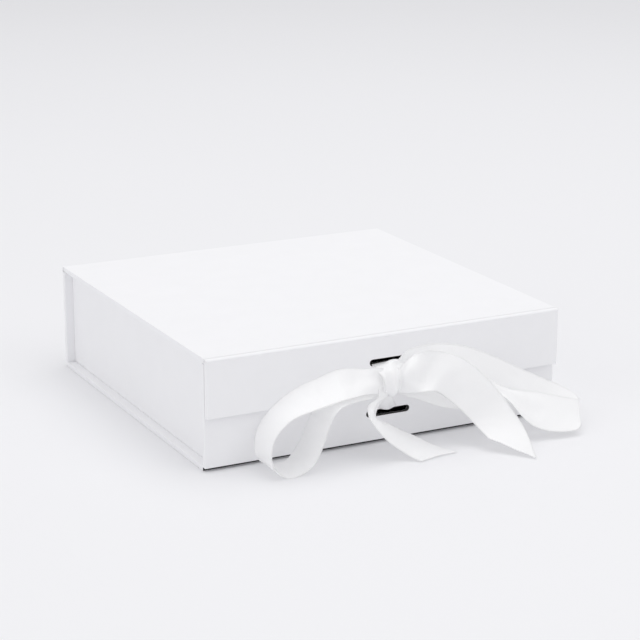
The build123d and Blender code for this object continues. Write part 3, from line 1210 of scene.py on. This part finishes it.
    def make_neck(self) -> None:
        """Make the end of the lower ribbon, which goes up into the knot.
        """
        low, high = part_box("lower_ribbon_end")
        y = (low.y + high.y) / 2
        places = [
            ((self.knot[0], y, low.z), 0.38),
            ((self.knot[0], y - 0.3 * MM, high.z), 0.36),
            ((self.knot[0], y - 1.0 * MM, high.z + 4 * MM), 0.36),
            ((self.knot[0], y - 1.6 * MM, high.z + 8 * MM), 0.36),
        ]
        sections = self.lead_sections(places)
        points, marks, length = self.surface(sections, pleats=4.0, phase=0.3, ends=FREE_ENDS)
        piece = self.cloth("ribbon_neck_satin", Body.FLAP, ("lower_ribbon_end",), points, marks)


def frame_slot_level(node: str, glued_depth: float = 1 * MM) -> float:
    """The height of a lead's run through its slot, at the top of its glued end.

    Args:
        node: The lead.
        glued_depth: How thick its glued end is taken to be.

    Returns:
        The height.
    """
    points = [vertex.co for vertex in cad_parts[node].data.vertices]
    back = max(point.y for point in points)
    return max(point.z for point in points if point.y > back - glued_depth)


@dataclass(frozen=True)
class Softbox:
    """A large square lamp that is turned to the box."""

    name: str
    place: Point
    size: float
    power: float

    def make(self) -> None:
        """Make the lamp."""
        lamp = bpy.data.lights.new(self.name, "AREA")
        lamp.shape = "SQUARE"
        lamp.size = self.size
        lamp.energy = self.power
        holder = bpy.data.objects.new(self.name, lamp)
        holder.location = self.place
        holder.rotation_euler = (-Vector(self.place)).to_track_quat("-Z", "Y").to_euler()
        bpy.context.scene.collection.objects.link(holder)
        log.info("%s: %.1f W", self.name, self.power)


OVERHEAD = Softbox("overhead_softbox", place=(0.35, 0.3, 2.6), size=2.6, power=22.6)
FRONT = Softbox("front_softbox", place=(1.1, -1.7, 2.0), size=2.0, power=9.6)
LEFT = Softbox("left_softbox", place=(-2.4, -0.5, 1.0), size=2.4, power=9.6)


@dataclass
class Studio:
    """The floor, the soft lights and the camera at the photograph's angle."""

    camera_place: Point = (-0.53396, -1.07688, 0.39440)
    camera_azimuth: float = -26.96
    camera_elevation: float = 16.26
    lens: float = 115.3
    sensor: float = 36.0
    floor_size: float = 10.0
    floor_ticks: int = 5
    sky: Colour = (0.985, 0.985, 1.0)
    sky_strength: float = 0.66
    lamps: tuple[Softbox, ...] = (OVERHEAD, FRONT, LEFT)

    def make(self) -> None:
        """Make the floor, the lights and the camera."""
        self.make_floor()
        self.make_sky()
        for lamp in self.lamps:
            lamp.make()
        self.make_camera()

    def make_floor(self) -> None:
        """Make the pale floor."""
        half = self.floor_size / 2
        ticks = np.linspace(-half, half, self.floor_ticks)
        points = np.array([[(x, y, 0.0) for x in ticks] for y in ticks])
        floor = sheet_mesh("floor", points[::-1])
        floor.data.materials.append(SWEEP.material())
        log.info("floor: %.1f m", self.floor_size)

    def make_sky(self) -> None:
        """Make the even light from all round."""
        world = bpy.data.worlds.new("studio")
        world.use_nodes = True
        background = world.node_tree.nodes["Background"]
        background.inputs["Color"].default_value = (*self.sky, 1)
        background.inputs["Strength"].default_value = self.sky_strength
        bpy.context.scene.world = world

    def make_camera(self) -> None:
        """Make the camera, turned to the box as in the photograph."""
        azimuth, elevation = radians(self.camera_azimuth), radians(self.camera_elevation)
        back = Vector((sin(azimuth) * cos(elevation), -cos(azimuth) * cos(elevation), sin(elevation)))
        lens = bpy.data.cameras.new("camera")
        lens.lens = self.lens
        lens.sensor_width = self.sensor
        holder = bpy.data.objects.new("camera", lens)
        holder.location = self.camera_place
        holder.rotation_euler = (-back).to_track_quat("-Z", "Y").to_euler()
        bpy.context.scene.collection.objects.link(holder)
        bpy.context.scene.camera = holder


def main() -> None:
    """Build the scene: studio, case and bow."""
    logging.basicConfig(level=logging.INFO, format="%(name)s: %(message)s")
    bpy.context.scene.view_settings.view_transform = "Standard"
    Studio().make()
    Case().make()
    Bow().make()


if __name__ == "__main__":
    main()
